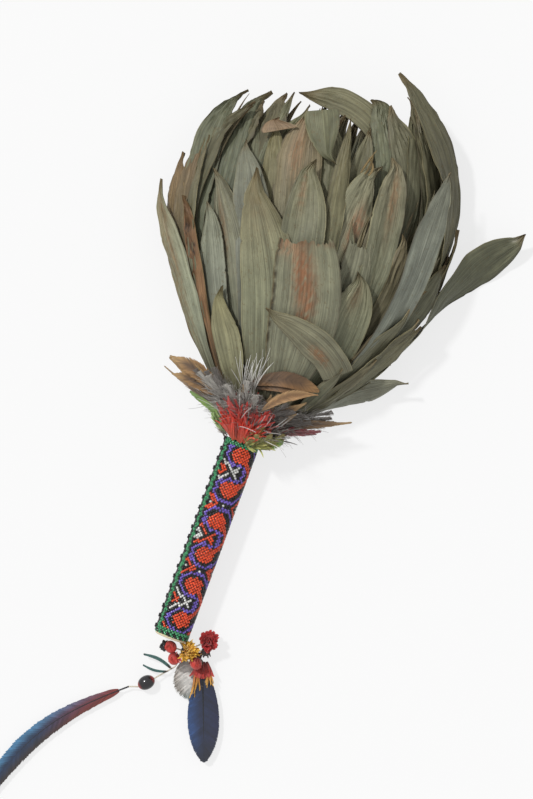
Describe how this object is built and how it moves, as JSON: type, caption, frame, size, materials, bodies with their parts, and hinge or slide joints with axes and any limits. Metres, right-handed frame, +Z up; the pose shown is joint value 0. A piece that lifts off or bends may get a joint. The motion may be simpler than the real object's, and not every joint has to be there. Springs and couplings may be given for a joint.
{
  "type": "leaf rattle",
  "caption": "Shaker of dried overlapping leaves tied to a round beaded grip, with a feather collar at the neck and a tassel of buds, seed and feathers at the butt.",
  "frame": {"origin": "middle of the beaded grip, on the handle axis", "axes": "+Y along the handle towards the leaves, +Z up from the surface it lies on, +X to the right seen from above"},
  "size_m": [0.2523, 0.5842, 0.0799],
  "materials": {
    "leaf_stalk": "matte",
    "cotton_cloth": "plain weave",
    "glass_beads": "glossy",
    "cut_stalk_end": "matte",
    "plant_fibre_cord": "twisted fibre",
    "dried_leaf": "dull, ribbed",
    "tan_dried_leaf": "dull, ribbed",
    "shaded_dried_leaf": "dull, ribbed",
    "brown_feather": "barbed",
    "grey_down": "downy",
    "red_feather": "barbed",
    "green_feather": "barbed",
    "yellow_feather": "downy",
    "pale_feather": "downy",
    "blue_feather": "barbed, sheen",
    "black_thread": "twisted",
    "cotton_thread": "twisted",
    "seed_shell": "polished"
  },
  "bodies": {
    "handle": {"stalk_bundle": "leaf_stalk", "cloth_lining": "cotton_cloth", "bead_sleeve": "glass_beads", "butt_end": "cut_stalk_end"},
    "head": {"cord_binding": "plant_fibre_cord", "leaf_bases": "leaf_stalk", "leaf_left_inner": "dried_leaf", "leaf_brown_curl": "tan_dried_leaf", "leaf_left_mid": "dried_leaf", "leaf_left_upper": "dried_leaf", "leaf_left_tip": "dried_leaf", "leaf_top_folded": "tan_dried_leaf", "leaf_mid_upper": "dried_leaf", "leaf_top_pleated": "dried_leaf", "leaf_crown_bent": "dried_leaf", "leaf_narrow_mid": "dried_leaf", "leaf_narrow_top": "shaded_dried_leaf", "leaf_right_patch": "dried_leaf", "leaf_right_torn": "dried_leaf", "leaf_right_low": "dried_leaf", "leaf_right_upper": "dried_leaf", "leaf_right_crown": "dried_leaf", "leaf_left_back": "tan_dried_leaf", "right_rim_leaves": "shaded_dried_leaf", "right_strips": "tan_dried_leaf", "left_crown_leaves": "dried_leaf", "left_tip_leaves": "dried_leaf", "inner_leaves": "shaded_dried_leaf", "core_leaves": "shaded_dried_leaf", "under_leaves": "dried_leaf", "under_inner_leaves": "shaded_dried_leaf", "rest_leaf": "dried_leaf", "hen_feathers": "brown_feather", "down_feathers": "grey_down", "red_feathers": "red_feather", "dark_red_feathers": "red_feather", "green_feathers": "green_feather", "back_feathers": "brown_feather"},
    "leaf_centre": {"leaf_centre": "dried_leaf"},
    "leaf_broad_left": {"leaf_broad_left": "dried_leaf"},
    "leaf_bent_across": {"leaf_bent_across": "dried_leaf"},
    "leaf_low_left": {"leaf_low_left": "dried_leaf"},
    "leaf_left_edge": {"leaf_left_edge": "tan_dried_leaf"},
    "leaf_right_broad": {"leaf_right_broad": "dried_leaf"},
    "leaf_outlier": {"leaf_outlier": "shaded_dried_leaf"},
    "leaf_low_right": {"leaf_low_right": "dried_leaf"},
    "tassel": {"tassel_knot": "black_thread", "tassel_threads": "cotton_thread", "red_buds": "red_feather", "red_rosette": "red_feather", "yellow_tuft": "yellow_feather", "pale_feather": "pale_feather", "dark_feather": "green_feather"},
    "blue_plume": {"blue_feather": "blue_feather"},
    "seed_strand": {"seed_thread": "cotton_thread", "hanging_seed": "seed_shell", "teal_wisps": "green_feather"},
    "long_plume": {"long_feather": "blue_feather"}
  },
  "joints": [
    {"name": "neck_flex", "type": "hinge", "parent": "handle", "child": "head", "pos_m": [0, 0.07375, 0], "axis": [1, 0, 0], "range_deg": [-6, 6], "stiffness_Nm_per_rad": 4},
    {"name": "leaf_centre_lift", "type": "hinge", "parent": "leaf_broad_left", "child": "leaf_centre", "pos_m": [0.01131, 0.104, 0.02335], "axis": [0.9272, 0, -0.3746], "range_deg": [0, 8], "stiffness_Nm_per_rad": 0.08},
    {"name": "leaf_broad_left_lift", "type": "hinge", "parent": "head", "child": "leaf_broad_left", "pos_m": [-0.00061, 0.104, 0.02309], "axis": [0.9994, 0, -0.0349], "range_deg": [0, 8], "stiffness_Nm_per_rad": 0.08},
    {"name": "leaf_bent_across_lift", "type": "hinge", "parent": "leaf_centre", "child": "leaf_bent_across", "pos_m": [0.02875, 0.104, 0.01603], "axis": [0.5878, 0, -0.809], "range_deg": [0, 10], "stiffness_Nm_per_rad": 0.08},
    {"name": "leaf_low_left_lift", "type": "hinge", "parent": "head", "child": "leaf_low_left", "pos_m": [-0.01628, 0.104, 0.0216], "axis": [0.8988, 0, 0.4384], "range_deg": [0, 12], "stiffness_Nm_per_rad": 0.08},
    {"name": "leaf_left_edge_lift", "type": "hinge", "parent": "head", "child": "leaf_left_edge", "pos_m": [-0.02993, 0.104, 0.01179], "axis": [0.5, 0, 0.866], "range_deg": [0, 12], "stiffness_Nm_per_rad": 0.08},
    {"name": "leaf_right_broad_lift", "type": "hinge", "parent": "head", "child": "leaf_right_broad", "pos_m": [0.02906, 0.104, 0.009], "axis": [0.3746, 0, -0.9272], "range_deg": [0, 6], "stiffness_Nm_per_rad": 0.08},
    {"name": "leaf_outlier_lift", "type": "hinge", "parent": "head", "child": "leaf_outlier", "pos_m": [0.03172, 0.104, -0.00368], "axis": [-0.2756, 0, -0.9613], "range_deg": [-2, 10], "stiffness_Nm_per_rad": 0.08},
    {"name": "leaf_low_right_lift", "type": "hinge", "parent": "leaf_outlier", "child": "leaf_low_right", "pos_m": [0.03617, 0.104, 0.00192], "axis": [0.0698, 0, -0.9976], "range_deg": [0, 12], "stiffness_Nm_per_rad": 0.08},
    {"name": "tassel_swing", "type": "hinge", "parent": "handle", "child": "tassel", "pos_m": [0.007, -0.0743, -0.003], "axis": [0, 0, 1], "range_deg": [-12, 12]},
    {"name": "blue_feather_swing", "type": "hinge", "parent": "tassel", "child": "blue_plume", "pos_m": [0.027, -0.0825, -0.008], "axis": [0, 0, 1], "range_deg": [-20, 35]},
    {"name": "seed_strand_swing", "type": "hinge", "parent": "tassel", "child": "seed_strand", "pos_m": [0.01, -0.093, -0.011], "axis": [0, 0, 1], "range_deg": [-20, 20]},
    {"name": "long_feather_swing", "type": "hinge", "parent": "seed_strand", "child": "long_plume", "pos_m": [-0.0156, -0.117, -0.0094], "axis": [0, 0, 1], "range_deg": [-35, 30]}
  ]
}
